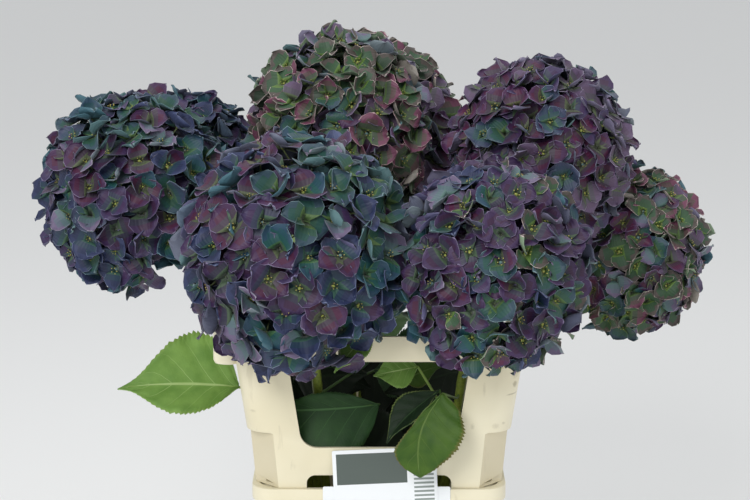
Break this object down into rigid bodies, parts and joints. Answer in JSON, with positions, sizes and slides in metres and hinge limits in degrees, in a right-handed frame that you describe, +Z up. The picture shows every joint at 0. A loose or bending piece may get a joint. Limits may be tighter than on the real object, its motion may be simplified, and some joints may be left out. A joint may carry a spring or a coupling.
{
  "type": "cut hydrangea blooms in a plastic flower container",
  "caption": "Cut mophead hydrangea blooms on leafy stems, standing in a flared cream plastic flower container with window openings.",
  "frame": {"origin": "centre of the container's flat underside, on the surface that it stands on", "axes": "+Z up; +X to the right and -Y towards the viewer, along the container's long side, as the picture shows it"},
  "size_m": [0.6661, 0.6165, 0.7016],
  "materials": {
    "container": "cream polypropylene, slightly scuffed",
    "card": "white label card",
    "stem": "green, slightly woody stem",
    "leaf": "soft matt leaf",
    "bloom": "dusky purple and teal sepals",
    "bloom_green": "green sepals with pink rims"
  },
  "bodies": {
    "root": {"tub": "container", "collar": "container", "card_backing": "card", "card_front": "card", "stem_left": "stem", "stem_centre": "stem", "stem_front_left": "stem", "stem_right_top": "stem", "stem_front_right": "stem", "stem_right": "stem", "stem_back": "stem", "stem_back_left": "stem", "stem_back_right": "stem", "bloom_left": "bloom", "bloom_centre": "bloom_green", "bloom_front_left": "bloom", "bloom_right_top": "bloom", "bloom_front_right": "bloom", "bloom_right": "bloom", "bloom_back": "bloom_green", "bloom_back_left": "bloom", "bloom_back_right": "bloom", "leaf_left_front": "leaf", "leaf_left_inner": "leaf", "leaf_window_left": "leaf", "leaf_window_top": "leaf", "leaf_window_fold": "leaf", "leaf_window_right": "leaf", "leaf_window_dark": "leaf", "leaf_window_green": "leaf", "leaf_inner_middle": "leaf", "leaf_rim_front": "leaf", "leaf_right_inner": "leaf", "leaf_right_back": "leaf", "leaf_rim_right": "leaf", "leaf_rim_left": "leaf", "leaf_back_rim_right": "leaf", "leaf_back_rim_left": "leaf", "leaf_back_window": "leaf"}
  },
  "joints": []
}
